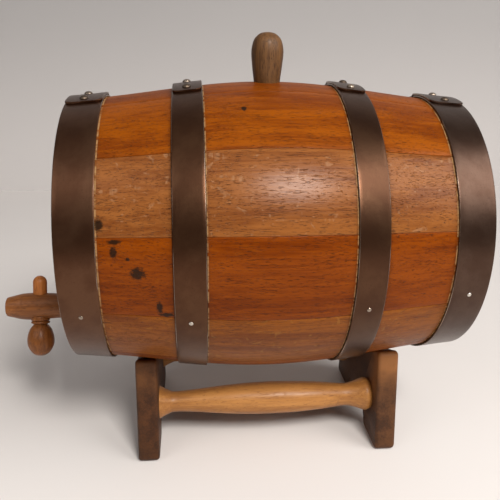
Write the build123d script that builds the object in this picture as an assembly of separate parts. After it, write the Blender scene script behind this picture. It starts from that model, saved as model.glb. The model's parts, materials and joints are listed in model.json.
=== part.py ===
from build123d import *
import os
from math import atan2, cos, degrees, pi

# A small coopered oak cask that lies on a two-board cradle, with a wooden bung and a wooden tap.
#
# Frame: the floor is Z = 0 and the origin is the middle of the object's footprint on it.
# +X runs along the cask, away from the tap. -Y is the front. +Z is up.
# Angles about the cask axis are in degrees: 0 at the rear, 90 at the top, 180 at the front.
# Cask pieces are drawn about the X axis with mid-length at x = 0, then lifted into the cradle.

# ---- Driving dimensions, in millimetres ----

# Cask
CASK_LENGTH = 280.0
BILGE_RADIUS = 107.4          # outside of the staves at mid-length
CHIME_RADIUS = 93.7           # outside of the staves at their ends
STAVE_THICKNESS = 16.0
COSINE_SHARE = 0.6            # share of the stave's bend that is a cosine; the rest is a parabola
STAVE_ANGLES = (32, 31, 30, 31, 30, 29, 30, 30, 30, 29, 29, 29)   # bung stave first, in degrees
JOINT_GAP = 0.05              # daylight between neighbouring pieces of wood
CHIME_LAND = 8.0              # flat end of a stave, measured inwards from the outside
CHIME_BEVEL = 9.0             # length of the bevel inside the stave's end

# Heads
HEAD_RECESS = 15.0            # from the cask's end to the outer face of the head
HEAD_THICKNESS = 14.0
TONGUE_THICKNESS = 6.0        # edge of the head, held in the croze groove
CROZE_DEPTH = 4.0
HEAD_BEVEL = 5.0
CENTRE_BOARD_WIDTH = 54.0
DOWEL_RADIUS = 3.0
DOWEL_LENGTH = 24.0
DOWEL_HEIGHTS = (40.0, -20.0)

# Hoops
HOOP_THICKNESS = 1.5
HOOP_GAP = 0.08               # between a hoop and the wood, and between the two layers of a lap
HOOP_SPANS = {                # from and to, along the cask
    "left_head_hoop": (-140.0, -114.3),
    "left_bilge_hoop": (-67.5, -46.9),
    "right_bilge_hoop": (46.9, 67.5),
    "right_head_hoop": (114.3, 140.0),
}
LAP_START = 80.0              # the step that lifts the outer layer, degrees
LAP_STEP = 2.0
RIVET_ANGLES = {              # rear rivet and front rivet of each lap, degrees
    "left_head_hoop": (87.0, 99.0),
    "left_bilge_hoop": (87.0, 100.0),
    "right_bilge_hoop": (86.5, 99.0),
    "right_head_hoop": (85.5, 99.5),
}
LAP_MARGIN = 4.0              # from the front rivet to the end of the strip, degrees
RIVET_SHANK_RADIUS = 1.5
RIVET_HEAD_RADIUS = 3.0
RIVET_HEAD_HEIGHT = 2.0
TACK_ANGLES = {               # front tack and rear tack of each hoop, degrees
    "left_head_hoop": (199.7, 340.0),
    "left_bilge_hoop": (199.4, 340.0),
    "right_bilge_hoop": (195.5, 340.0),
    "right_head_hoop": (193.6, 340.0),
}
TACK_SHANK_RADIUS = 0.7
TACK_HEAD_RADIUS = 1.5
TACK_HEAD_HEIGHT = 0.7
TACK_LENGTH = 11.0
PIN_CLEARANCE = 0.05          # radial, for rivets, tacks, dowels and tenons

# Bung
BUNG_RADIUS = 9.4             # at the outside of the stave
BUNG_SWELL = 11.5             # widest radius of the knob
BUNG_HEIGHT = 33.7            # above the stave
BUNG_DEPTH = 22.0             # below the outside of the stave
PLUG_TAPER = 0.05             # radius lost per millimetre of depth
FIT_GAP = 0.05                # between a wooden plug and its hole
CONE_ABOVE = 2.0              # how far the plug's cone carries on above the stave, inside the knob
HOLE_SPARE = 5.0              # extra length of a hole's cutter
BUNG_PROFILE = (              # share of the swell, and share of the height above the stave
    (0.0, 0.0),
    (0.60, 0.28),
    (1.0, 0.57),
)
CROWN_PROFILE = (             # share of the widest radius, and share of the height above the stave
    (0.93, 0.76),
    (0.58, 0.94),
    (0.0, 1.0),
)

# Tap
TAP_PROJECTION = 61.0         # from the end of the cask to the tip of the nose
TAP_DROP = 64.3               # tap axis below the cask axis
TAP_LEAN = 20.0               # the tap is turned in its hole, knob towards the front, degrees
TAP_WIDEST = 10.5
TAP_NOSE_RADIUS = 7.5
NOSE_EDGE = 1.2               # rounding of the nose's rim
TAP_PROFILE = (               # share of the projection from the nose, and share of the widest radius
    (0.10, 0.86),
    (0.28, 1.0),
    (0.60, 0.87),
    (0.90, 0.82),
)
TAP_AT_HEAD = 8.5             # tap radius where it meets the outer face of the head
TAP_INSIDE = 9.0              # how far the tail stands inside the cask
WATERWAY_RADIUS = 2.8
KEY_SETBACK = 25.0            # from the tip of the nose to the key's axis
KEY_TOP = 24.0                # above the tap axis
KEY_TOP_RADIUS = 5.3
KEY_BOTTOM_RADIUS = 6.3
SEAT_DEPTH = 7.9              # flat seat for the key's collar, below the tap axis
COLLAR_RADIUS = 7.3
COLLAR_HEIGHT = 6.6
COLLAR_CLEARANCE = 0.3
COLLAR_PROFILE = (            # share of the collar's radius, and share of its height from the top
    (1.0, 0.0),
    (1.0, 0.46),
    (0.90, 0.55),
    (0.97, 0.66),
    (0.72, 1.0),
)
KNOB_RADIUS = 10.2
KNOB_LENGTH = 25.2
KNOB_OVERLAP = 0.8            # how far the knob runs up into the collar

# Cradle
AXIS_HEIGHT = 168.6           # cask axis above the floor
BOARD_SPREAD = 91.7           # from mid-length to the middle of each board
BOARD_THICKNESS = 16.0
FOOT_HALF_DEPTH = 63.5
HORN_HALF_DEPTH = 51.5
HORN_HEIGHT = 85.0
CRADLE_GAP = 0.15
ARCH_HALF_WIDTH = 27.0
ARCH_HEIGHT = 20.0
BOARD_CORNER = 4.0            # rounding of the board's outline
BOARD_ARRIS = 2.6             # rounding of its long edges
STRETCHER_PLACES = {          # y and z of each stretcher's axis
    "front": (-35.5, 35.2),
    "rear": (40.0, 37.0),
}
STRETCHER_PROFILE = (         # radius, and share of the half length from the left to the right
    (12.6, -1.0),
    (9.6, -0.93),
    (7.8, -0.85),
    (9.2, -0.60),
    (11.4, -0.30),
    (12.5, 0.06),
    (11.4, 0.42),
    (9.9, 0.62),
    (8.8, 0.76),
    (10.4, 0.86),
    (12.9, 0.95),
    (11.6, 1.0),
)
TENON_RADIUS = 5.0
TENON_LENGTH = 10.5
TENON_SPARE = 0.5             # air behind a tenon's end

# ---- Worked out from the above ----
HALF_LENGTH = CASK_LENGTH / 2
CASK_X = TAP_PROJECTION / 2   # the tap makes the object longer on one side
STAVE_START = 90 - STAVE_ANGLES[0] / 2
HEAD_OUTER_X = HALF_LENGTH - HEAD_RECESS
HEAD_MIDDLE_X = HEAD_OUTER_X - HEAD_THICKNESS / 2
NOSE_X = -HALF_LENGTH - TAP_PROJECTION
KEY_X = NOSE_X + KEY_SETBACK
SIDES = {"left": -1, "right": 1}

IN_CRADLE = Pos(CASK_X, 0, AXIS_HEIGHT)
AT_TAP = IN_CRADLE * Pos(0, 0, -TAP_DROP) * Rot(-TAP_LEAN, 0, 0)


def stave_radius(x):
    """Outside radius of the staves at a distance x from mid-length."""
    u = abs(x) / HALF_LENGTH
    bend = COSINE_SHARE * (1 - cos(pi * u)) / 2 + (1 - COSINE_SHARE) * u ** 2
    return BILGE_RADIUS - (BILGE_RADIUS - CHIME_RADIUS) * bend


def inside_radius(x):
    """Inside radius of the staves at a distance x from mid-length."""
    return stave_radius(x) - STAVE_THICKNESS


def face_between(*edges):
    """Flat face bounded by edges that join end to end."""
    return Face(Wire(list(edges)))


def polygon(*points):
    """Flat face with straight sides."""
    return Face(Wire.make_polygon(points, close=True))


def sector(profile, start, end):
    """Turn a profile about the cask axis from one angle to another."""
    return Rot(start, 0, 0) * revolve(profile, axis=Axis.X, revolution_arc=end - start)


# ---- Staves ----

def stave_profile():
    """Lengthwise section of a stave: bent outside, croze grooves and bevelled chimes inside."""
    stations = [HALF_LENGTH * i / 6 for i in range(-6, 7)]
    outside = Spline(*[(x, stave_radius(x)) for x in stations])
    inside = Spline(*[(x, inside_radius(x)) for x in stations])
    profile = face_between(outside, Line(outside @ 1, inside @ 1), inside, Line(inside @ 0, outside @ 0))
    groove_radius = inside_radius(HEAD_MIDDLE_X)
    bevel_x = HALF_LENGTH - CHIME_BEVEL
    bevel_radius = inside_radius(bevel_x)
    land_radius = CHIME_RADIUS - CHIME_LAND
    for side in SIDES.values():
        groove = Rectangle(TONGUE_THICKNESS + 2 * JOINT_GAP, 2 * CROZE_DEPTH)
        profile -= Pos(side * HEAD_MIDDLE_X, groove_radius) * groove
        profile -= polygon(
            (side * bevel_x, bevel_radius),
            (side * HALF_LENGTH, land_radius),
            (side * (HALF_LENGTH + 1), land_radius),
            (side * (HALF_LENGTH + 1), bevel_radius - STAVE_THICKNESS),
            (side * bevel_x, bevel_radius - STAVE_THICKNESS),
        )
    return profile


def bung_cone(gap):
    """Tapered plug below and just above the outside of the bung stave."""
    depth = BUNG_DEPTH + (HOLE_SPARE if gap else 0.0)
    bottom = BUNG_RADIUS - PLUG_TAPER * depth + gap
    top = BUNG_RADIUS + PLUG_TAPER * CONE_ABOVE + gap
    middle = BILGE_RADIUS + (CONE_ABOVE - depth) / 2
    return Pos(0, 0, middle) * Cone(bottom, top, CONE_ABOVE + depth)


def make_staves():
    """The twelve staves, numbered from the bung stave over the front."""
    profile = stave_profile()
    gap = degrees(JOINT_GAP / BILGE_RADIUS)
    staves = {}
    start = STAVE_START
    for number, width in enumerate(STAVE_ANGLES, start=1):
        name = "bung_stave" if number == 1 else f"stave_{number:02d}"
        stave = sector(profile, start + gap / 2, start + width - gap / 2)
        if number == 1:
            stave -= bung_cone(FIT_GAP)
        for hoop, angles in TACK_ANGLES.items():
            for angle in angles:
                if start < angle < start + width or start < angle + 360 < start + width:
                    stave -= on_hoop(hoop, angle, 0) * tack_hole()
        staves[name] = stave
        start += width
    return staves


# ---- Heads ----

def head_disc(side):
    """One whole head: a disc with a bevelled shoulder and a tongue for the croze."""
    half = HEAD_THICKNESS / 2
    tongue = TONGUE_THICKNESS / 2
    shoulder = inside_radius(HEAD_OUTER_X) - 2 * JOINT_GAP
    rim = inside_radius(HEAD_MIDDLE_X) + CROZE_DEPTH - 2 * JOINT_GAP
    section = polygon(
        (-half, 0),
        (-half, shoulder - HEAD_BEVEL),
        (-tongue, shoulder),
        (-tongue, rim),
        (tongue, rim),
        (tongue, shoulder),
        (half, shoulder - HEAD_BEVEL),
        (half, 0),
    )
    return Pos(side * HEAD_MIDDLE_X, 0, 0) * revolve(section, axis=Axis.X)


def head_dowels(side, clearance):
    """The four dowels that pin a head's three boards together, or their holes."""
    length = DOWEL_LENGTH + 4 * clearance
    pin = Rot(90, 0, 0) * Cylinder(DOWEL_RADIUS + clearance, length)
    seam = CENTRE_BOARD_WIDTH / 2
    return [
        Pos(side * HEAD_MIDDLE_X, y, z) * pin
        for y in (-seam, seam)
        for z in DOWEL_HEIGHTS
    ]


def tap_hole():
    """Tapered hole for the tap's tail, through the left head."""
    inner = TAP_AT_HEAD - PLUG_TAPER * HEAD_THICKNESS + FIT_GAP
    cone = Cone(inner, TAP_AT_HEAD + FIT_GAP, HEAD_THICKNESS)
    return Pos(-HEAD_MIDDLE_X, 0, -TAP_DROP) * Rot(0, -90, 0) * cone


def make_heads():
    """Three boards for each head, and the dowels between them."""
    seam = CENTRE_BOARD_WIDTH / 2
    big = 2 * BILGE_RADIUS
    slots = {
        "front_board": (-big, -seam - JOINT_GAP / 2),
        "centre_board": (-seam + JOINT_GAP / 2, seam - JOINT_GAP / 2),
        "rear_board": (seam + JOINT_GAP / 2, big),
    }
    pieces = {}
    for side_name, side in SIDES.items():
        disc = head_disc(side) - head_dowels(side, PIN_CLEARANCE)
        if side_name == "left":
            disc -= tap_hole()
        for slot_name, (low, high) in slots.items():
            keep = Pos(side * HEAD_MIDDLE_X, (low + high) / 2, 0) * Box(big, high - low, big)
            pieces[f"{side_name}_head_{slot_name}"] = disc & keep
        pieces[f"{side_name}_head_dowels"] = Compound(children=head_dowels(side, 0))
    return pieces


# ---- Hoops, rivets and tacks ----

def hoop_layer(hoop, lift, thickness=HOOP_THICKNESS):
    """Section of a hoop's strip, lifted off the staves by the given amount."""
    low, high = HOOP_SPANS[hoop]
    middle = (low + high) / 2
    inner = [(x, stave_radius(x) + lift) for x in (low, middle, high)]
    outer = [(x, r + thickness) for x, r in inner]
    inner_arc = ThreePointArc(*inner)
    outer_arc = ThreePointArc(*outer)
    return face_between(
        inner_arc, Line(inner_arc @ 1, outer_arc @ 1), outer_arc, Line(outer_arc @ 0, inner_arc @ 0)
    )


def lap_lift():
    """How far the outer layer of a lap stands off the staves."""
    return 2 * HOOP_GAP + HOOP_THICKNESS


def on_hoop(hoop, angle, lift):
    """Place at a hoop's middle, z out of the wood at right angles to it, lifted by lift."""
    low, high = HOOP_SPANS[hoop]
    middle = (low + high) / 2
    slope = degrees(atan2(stave_radius(high) - stave_radius(low), high - low))
    return Rot(angle - 90, 0, 0) * Pos(middle, 0, stave_radius(middle)) * Rot(0, -slope, 0) * Pos(0, 0, lift)


def make_hoop(hoop):
    """A riveted strip: once round, with its front end lapped over its rear end."""
    step_end = LAP_START + LAP_STEP
    lap_end = RIVET_ANGLES[hoop][1] + LAP_MARGIN
    gap = degrees(JOINT_GAP / BILGE_RADIUS)
    under = hoop_layer(hoop, HOOP_GAP)
    over = hoop_layer(hoop, lap_lift())
    both = hoop_layer(hoop, HOOP_GAP, lap_lift() + HOOP_THICKNESS - HOOP_GAP)
    hidden_end = sector(under, step_end + gap, lap_end)
    lap = sector(over, step_end, lap_end)
    for angle in RIVET_ANGLES[hoop]:
        hole = on_hoop(hoop, angle, 0) * Cylinder(RIVET_SHANK_RADIUS + PIN_CLEARANCE, 4 * lap_lift())
        hidden_end -= hole
        lap -= hole
    front = sector(under, lap_end, 270)
    rear = sector(under, 270, LAP_START + 360)
    front_tack, rear_tack = TACK_ANGLES[hoop]
    front -= on_hoop(hoop, front_tack, 0) * tack_hole()
    rear -= on_hoop(hoop, rear_tack, 0) * tack_hole()
    return hidden_end + front + rear + sector(both, LAP_START, step_end) + lap


def dome(radius, height):
    """Round head: part of a ball, flat side down at z = 0."""
    ball_radius = (radius ** 2 + height ** 2) / (2 * height)
    ball = Pos(0, 0, height - ball_radius) * Sphere(ball_radius)
    return ball & Pos(0, 0, height) * Box(4 * radius, 4 * radius, 2 * height)


def make_rivet():
    """Round-headed rivet through both layers of a lap, z = 0 at the outside of the staves."""
    bottom = 1.5 * HOOP_GAP
    top = lap_lift() + HOOP_THICKNESS + HOOP_GAP
    shank = Pos(0, 0, (bottom + top) / 2) * Cylinder(RIVET_SHANK_RADIUS, top - bottom)
    return shank + Pos(0, 0, top) * dome(RIVET_HEAD_RADIUS, RIVET_HEAD_HEIGHT)


def tack_hole():
    """Hole for a tack's shank, z = 0 at the outside of the staves."""
    return Cylinder(TACK_SHANK_RADIUS + PIN_CLEARANCE, 2 * TACK_LENGTH)


def make_tack():
    """Flat-headed steel tack that pins a hoop to a stave, z = 0 at the outside of the staves."""
    top = 2 * HOOP_GAP + HOOP_THICKNESS
    shank = Pos(0, 0, top - TACK_LENGTH / 2) * Cylinder(TACK_SHANK_RADIUS, TACK_LENGTH)
    return shank + Pos(0, 0, top) * dome(TACK_HEAD_RADIUS, TACK_HEAD_HEIGHT)


def make_fasteners():
    """All rivets as one group and all tacks as another."""
    rivets = []
    tacks = []
    for hoop in HOOP_SPANS:
        rivets += [on_hoop(hoop, angle, 0) * make_rivet() for angle in RIVET_ANGLES[hoop]]
        tacks += [on_hoop(hoop, angle, 0) * make_tack() for angle in TACK_ANGLES[hoop]]
    return {"hoop_rivets": Compound(children=rivets), "hoop_tacks": Compound(children=tacks)}


# ---- Bung and tap ----

def turned(points):
    """Solid turned about Z; its outline is a smooth curve through (radius, height) points."""
    outline = Spline(*points)
    foot = (0, points[0][1])
    head = (0, points[-1][1])
    edges = [Line(foot, points[0]), outline]
    if points[-1] != head:
        edges.append(Line(points[-1], head))
    edges.append(Line(head, foot))
    return revolve(Plane.XZ * face_between(*edges), axis=Axis.Z)


def make_bung():
    """Turned bung: tapered plug below, swelling to a round-topped knob."""
    swell = BUNG_SWELL - BUNG_RADIUS
    points = [(BUNG_RADIUS + share * swell, height * BUNG_HEIGHT) for share, height in BUNG_PROFILE]
    points += [(share * BUNG_SWELL, height * BUNG_HEIGHT) for share, height in CROWN_PROFILE]
    knob = Pos(0, 0, BILGE_RADIUS) * turned(points)
    below = Box(4 * BUNG_SWELL, 4 * BUNG_SWELL, 2 * BUNG_DEPTH)
    plug = bung_cone(0) & Pos(0, 0, BILGE_RADIUS - BUNG_DEPTH) * below
    return plug + knob


def key_plug(gap):
    """The key's tapered barrel, down to its collar, or the hole for it."""
    low = SEAT_DEPTH + FIT_GAP
    barrel = Cone(KEY_BOTTOM_RADIUS + gap, KEY_TOP_RADIUS + gap, TAP_WIDEST + low)
    return Pos(0, 0, (TAP_WIDEST - low) / 2) * barrel


def make_tap_body():
    """Turned tap body with a straight waterway and a cross hole for the key."""
    face_x = -HEAD_OUTER_X
    tail_x = face_x + HEAD_THICKNESS + TAP_INSIDE
    tail_radius = TAP_AT_HEAD - PLUG_TAPER * (tail_x - face_x)
    outline = Spline(
        (NOSE_X + NOSE_EDGE, TAP_NOSE_RADIUS),
        *[(NOSE_X + x * TAP_PROJECTION, radius * TAP_WIDEST) for x, radius in TAP_PROFILE],
        (face_x, TAP_AT_HEAD),
    )
    turn = NOSE_EDGE * (1 - cos(pi / 4))
    nose = ThreePointArc(
        (NOSE_X, TAP_NOSE_RADIUS - NOSE_EDGE),
        (NOSE_X + turn, TAP_NOSE_RADIUS - turn),
        (NOSE_X + NOSE_EDGE, TAP_NOSE_RADIUS),
    )
    section = face_between(
        Line((NOSE_X, 0), nose @ 0),
        nose,
        outline,
        Line(outline @ 1, (tail_x, tail_radius)),
        Line((tail_x, tail_radius), (tail_x, 0)),
        Line((tail_x, 0), (NOSE_X, 0)),
    )
    body = revolve(section, axis=Axis.X)
    body -= Rot(0, 90, 0) * Cylinder(WATERWAY_RADIUS, 4 * HALF_LENGTH)
    seat = Pos(0, 0, -SEAT_DEPTH - TAP_WIDEST) * Cylinder(COLLAR_RADIUS + COLLAR_CLEARANCE, 2 * TAP_WIDEST)
    spare = Pos(0, 0, TAP_WIDEST) * Cylinder(KEY_TOP_RADIUS + FIT_GAP, HOLE_SPARE)
    return body - Pos(KEY_X, 0, 0) * (key_plug(FIT_GAP) + seat + spare)


def make_tap_key():
    """Turned key: round-ended peg on top, tapered barrel, beaded collar and egg-shaped knob."""
    peg_end = KEY_TOP - KEY_TOP_RADIUS
    peg = Pos(0, 0, (TAP_WIDEST + peg_end) / 2) * Cylinder(KEY_TOP_RADIUS, peg_end - TAP_WIDEST)
    peg += Pos(0, 0, peg_end) * Sphere(KEY_TOP_RADIUS)
    collar_top = -SEAT_DEPTH - FIT_GAP
    collar_foot = collar_top - COLLAR_HEIGHT
    beads = [(r * COLLAR_RADIUS, collar_top - z * COLLAR_HEIGHT) for r, z in COLLAR_PROFILE]
    collar = polygon((0, collar_top), *beads, (0, collar_foot))
    knob_z = collar_foot - KNOB_LENGTH / 2 + KNOB_OVERLAP
    right_half = Pos(KNOB_RADIUS, 0) * Rectangle(2 * KNOB_RADIUS, 2 * KNOB_LENGTH)
    knob = Pos(0, knob_z) * (Ellipse(KNOB_RADIUS, KNOB_LENGTH / 2) & right_half)
    key = key_plug(0) + peg
    key += revolve(Plane.XZ * collar, axis=Axis.Z)
    key += revolve(Plane.XZ * knob, axis=Axis.Z)
    key -= Rot(90, 0, 0) * Cylinder(WATERWAY_RADIUS, 4 * KEY_TOP_RADIUS)
    return Pos(KEY_X, 0, 0) * key


# ---- Cradle ----

def board_outline():
    """A cradle board seen along the cask: hollowed on top, arched underneath."""
    outline = polygon(
        (-FOOT_HALF_DEPTH, 0),
        (FOOT_HALF_DEPTH, 0),
        (HORN_HALF_DEPTH, HORN_HEIGHT),
        (-HORN_HALF_DEPTH, HORN_HEIGHT),
    )
    cradle_radius = stave_radius(BOARD_SPREAD - BOARD_THICKNESS / 2) + CRADLE_GAP
    outline -= Pos(0, AXIS_HEIGHT) * Circle(cradle_radius)
    outline -= Ellipse(ARCH_HALF_WIDTH, ARCH_HEIGHT)
    return fillet(outline.vertices(), BOARD_CORNER)


def make_board(side):
    """Cradle board with softened edges and two blind holes for the stretchers' tenons."""
    board = extrude(Plane.YZ * board_outline(), BOARD_THICKNESS / 2, both=True)
    faces = board.faces().filter_by(Axis.X)
    board = fillet([edge for face in faces for edge in face.edges()], BOARD_ARRIS)
    hole_depth = TENON_LENGTH + TENON_SPARE
    hole = Rot(0, 90, 0) * Cylinder(TENON_RADIUS + PIN_CLEARANCE, 2 * hole_depth)
    for y, z in STRETCHER_PLACES.values():
        board -= Pos(-side * BOARD_THICKNESS / 2, y, z) * hole
    return Pos(CASK_X + side * BOARD_SPREAD, 0, 0) * board


def make_stretcher():
    """Turned spindle: thick in the middle, two necks, flared ends and round tenons."""
    half = BOARD_SPREAD - BOARD_THICKNESS / 2 - JOINT_GAP
    points = [(radius, share * half) for radius, share in STRETCHER_PROFILE]
    spindle = turned(points) + Cylinder(TENON_RADIUS, 2 * (half + TENON_LENGTH))
    return Rot(0, 90, 0) * spindle


def make_stand():
    """Two cradle boards and the two stretchers between them."""
    pieces = {f"{name}_cradle_board": make_board(side) for name, side in SIDES.items()}
    for name, (y, z) in STRETCHER_PLACES.items():
        pieces[f"{name}_stretcher"] = Pos(CASK_X, y, z) * make_stretcher()
    return pieces


# ---- Everything, one file for each piece ----

def main():
    os.makedirs("parts", exist_ok=True)
    pieces = {}
    cask = {**make_staves(), **make_heads(), **{hoop: make_hoop(hoop) for hoop in HOOP_SPANS}}
    cask.update(make_fasteners())
    cask["bung"] = make_bung()
    for name, shape in cask.items():
        pieces[name] = IN_CRADLE * shape
    pieces["tap_body"] = AT_TAP * make_tap_body()
    pieces["tap_key"] = AT_TAP * make_tap_key()
    pieces.update(make_stand())
    for name, shape in pieces.items():
        export_step(shape, f"parts/{name}.step")


main()
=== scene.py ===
import json
from math import atan2, cos, degrees, exp, hypot, pi, radians, sin, sqrt

import bmesh
import bpy
import numpy as np
from mathutils import Matrix, Vector, noise


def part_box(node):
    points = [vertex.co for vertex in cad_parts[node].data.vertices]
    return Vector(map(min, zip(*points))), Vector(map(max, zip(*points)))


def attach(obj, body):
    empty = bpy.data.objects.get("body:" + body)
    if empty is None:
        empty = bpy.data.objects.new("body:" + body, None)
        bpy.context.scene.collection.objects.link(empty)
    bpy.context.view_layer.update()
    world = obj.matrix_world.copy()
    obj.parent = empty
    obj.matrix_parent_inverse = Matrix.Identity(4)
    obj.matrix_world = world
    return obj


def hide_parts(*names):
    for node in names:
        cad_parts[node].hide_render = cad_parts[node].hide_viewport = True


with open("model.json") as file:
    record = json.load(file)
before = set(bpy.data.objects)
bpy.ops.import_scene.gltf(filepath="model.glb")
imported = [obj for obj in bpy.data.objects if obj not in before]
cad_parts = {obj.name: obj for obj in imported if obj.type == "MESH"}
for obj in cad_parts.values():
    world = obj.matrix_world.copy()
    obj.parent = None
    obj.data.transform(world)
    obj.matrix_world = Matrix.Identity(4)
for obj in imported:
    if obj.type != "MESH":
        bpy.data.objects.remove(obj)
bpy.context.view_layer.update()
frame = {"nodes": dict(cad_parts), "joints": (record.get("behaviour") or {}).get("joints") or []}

# A small oak cask on a two-board cradle, with a wooden bung and tap.
# Lengths are in metres. The cask runs along X, with the tap at the low end; -Y is the front.
# Angles about the cask axis are in degrees: 0 at the rear, 90 at the top, 180 at the front.

MM = 0.001

STAVES = ["bung_stave"] + [f"stave_{number:02d}" for number in range(2, 13)]
HOOPS = ["left_head_hoop", "left_bilge_hoop", "right_bilge_hoop", "right_head_hoop"]
SIDES = {"left": -1, "right": 1}

# ---- The cask's shape, read from the frame ----


def middle(node):
    """Centre of a CAD node's box."""
    low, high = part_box(node)
    return (low + high) / 2


AXIS = Vector((middle("bung_stave").x, 0, middle("right_head_centre_board").z))
HALF_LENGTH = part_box("bung_stave")[1].x - AXIS.x


def cask_points(node):
    """A CAD node's vertices as arrays: distance from mid-length, radius, and angle in degrees."""
    points = np.array([v.co for v in frame["nodes"][node].data.vertices]) - np.array(AXIS)
    radius = np.hypot(points[:, 1], points[:, 2])
    angle = np.degrees(np.arctan2(points[:, 2], points[:, 1])) % 360
    return points[:, 0], radius, angle


CLOSE = 0.02 * MM  # slack in picking CAD vertices by place


def widest(at_end):
    """Largest stave radius, over the whole length or at the end only."""
    x, radius, _ = cask_points("stave_04")
    return radius[np.abs(x) > HALF_LENGTH - CLOSE].max() if at_end else radius.max()


BILGE_RADIUS = widest(at_end=False)
CHIME_RADIUS = widest(at_end=True)
COSINE_SHARE = 0.6  # share of the bend that is a cosine; the rest is a parabola
STAVE_THICKNESS = 16 * MM


def stave_radius(x):
    """Outside radius of the staves at a distance x from mid-length."""
    u = abs(x) / HALF_LENGTH
    bend = COSINE_SHARE * (1 - cos(pi * u)) / 2 + (1 - COSINE_SHARE) * u ** 2
    return BILGE_RADIUS - (BILGE_RADIUS - CHIME_RADIUS) * bend


def stave_slope(x):
    """Slope of the outside of the staves, along the cask."""
    return (stave_radius(x + MM) - stave_radius(x - MM)) / (2 * MM)


def on_cask(x, angle, radius):
    """Point at a distance from mid-length, an angle and a radius about the cask axis."""
    turn = radians(angle)
    return AXIS + Vector((x, radius * cos(turn), radius * sin(turn)))


def cask_place(point):
    """Distance from mid-length, angle and radius of a point: the inverse of on_cask."""
    x, y, z = point - AXIS
    return x, degrees(atan2(z, y)) % 360, hypot(y, z)


def stave_span(node):
    """First and last angle of a stave; a stave over the rear passes 360."""
    angle = np.sort(cask_points(node)[2])
    gaps = np.diff(np.append(angle, angle[0] + 360))
    split = int(gaps.argmax())
    first = angle[(split + 1) % len(angle)]
    last = angle[split]
    return first, last if last > first else last + 360


# Ends of each hoop's strip along the cask, from mid-length.
HOOP_SPANS = {hoop: tuple(corner.x - AXIS.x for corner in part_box(hoop)) for hoop in HOOPS}


def fastener_angles(node, hoop):
    """Mean angles of the two fasteners that a grouped CAD node has on one hoop."""
    x, _, angle = cask_points(node)
    low, high = HOOP_SPANS[hoop]
    here = np.sort(angle[(x > low) & (x < high)])
    split = int(np.diff(here).argmax()) + 1
    return float(here[:split].mean()), float(here[split:].mean())


# ---- Mesh helpers ----

SMOOTH_ANGLE = radians(38)
WELD = 0.002 * MM  # points closer than this become one
WANDER_AROUND = 1.3  # how quickly a turned surface wanders on the way round
WANDER_ALONG = 60  # and along its axis, for each metre
WANDER_FADE = 2 * MM  # it wanders less within this radius, and not at all on the axis


def new_object(name, data):
    """Object in the scene that shows a mesh, a lamp or a camera."""
    made = bpy.data.objects.new(name, data)
    bpy.context.scene.collection.objects.link(made)
    return made


def new_piece(name, points, faces):
    """Object with a smooth-shaded mesh, whose edges stay sharp past SMOOTH_ANGLE."""
    mesh = bpy.data.meshes.new(name)
    mesh.from_pydata([tuple(p) for p in points], [], faces)
    tidy = bmesh.new()
    tidy.from_mesh(mesh)
    bmesh.ops.remove_doubles(tidy, verts=tidy.verts, dist=WELD)
    bmesh.ops.recalc_face_normals(tidy, faces=tidy.faces)
    tidy.to_mesh(mesh)
    tidy.free()
    shade(mesh)
    return new_object(name, mesh)


def shade(mesh):
    """Smooth shading with sharp edges kept."""
    mesh.polygons.foreach_set("use_smooth", [True] * len(mesh.polygons))
    mesh.set_sharp_from_angle(angle=SMOOTH_ANGLE)


def skin(rings):
    """Points and faces of a tube through closed rings of equal length, with both ends capped."""
    size = len(rings[0])
    points = [p for ring in rings for p in ring]
    faces = []
    for i in range(len(rings) - 1):
        for j in range(size):
            k = (j + 1) % size
            faces.append((i * size + j, i * size + k, (i + 1) * size + k, (i + 1) * size + j))
    faces.append(tuple(range(size))[::-1])
    faces.append(tuple(range((len(rings) - 1) * size, len(rings) * size)))
    return points, faces


def rounding(radius, steps=3):
    """Quarter round as (distance from the side, depth below the top), from the side to the top."""
    turns = [pi / 2 * i / steps for i in range(steps + 1)]
    return [(radius * (1 - cos(t)), radius * (1 - sin(t))) for t in turns]


def curve_through(points, steps=8):
    """Smooth line through 2-D points, as a Catmull-Rom curve."""
    padded = [points[0]] + list(points) + [points[-1]]
    line = []
    for before, start, end, after in zip(padded, padded[1:], padded[2:], padded[3:]):
        p0, p1, p2, p3 = (np.array(p, float) for p in (before, start, end, after))
        for i in range(steps):
            t = i / steps
            bend = 2 * p1 + (p2 - p0) * t + (2 * p0 - 5 * p1 + 4 * p2 - p3) * t ** 2
            bend += (3 * p1 - p0 - 3 * p2 + p3) * t ** 3
            line.append(tuple(bend / 2))
    line.append(tuple(points[-1]))
    return line


def turned(name, outline, place, segments, wobble=0.0):
    """Piece turned about Z through (radius, height) points, then moved by the matrix place.
    wobble is how far, in metres, a hand-made surface wanders from the true circle."""
    points = []
    for radius, height in outline:
        for i in range(segments):
            turn = 2 * pi * i / segments
            around = Vector((cos(turn), sin(turn), 0))
            drift = noise.noise(around * WANDER_AROUND + Vector((0, 0, height * WANDER_ALONG)))
            reach = radius + wobble * drift * min(1, radius / WANDER_FADE)
            points.append(place @ Vector((reach * around.x, reach * around.y, height)))
    rings = [points[i:i + segments] for i in range(0, len(points), segments)]
    return new_piece(name, *skin(rings))


def cut(piece, cutter):
    """Take the cutter's shape out of the piece."""
    modifier = piece.modifiers.new("cut", "BOOLEAN")
    modifier.operation = "DIFFERENCE"
    modifier.solver = "EXACT"
    modifier.object = cutter
    graph = bpy.context.evaluated_depsgraph_get()
    mesh = bpy.data.meshes.new_from_object(piece.evaluated_get(graph), depsgraph=graph)
    piece.modifiers.clear()
    piece.data = mesh
    bpy.data.objects.remove(cutter)
    shade(mesh)


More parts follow.
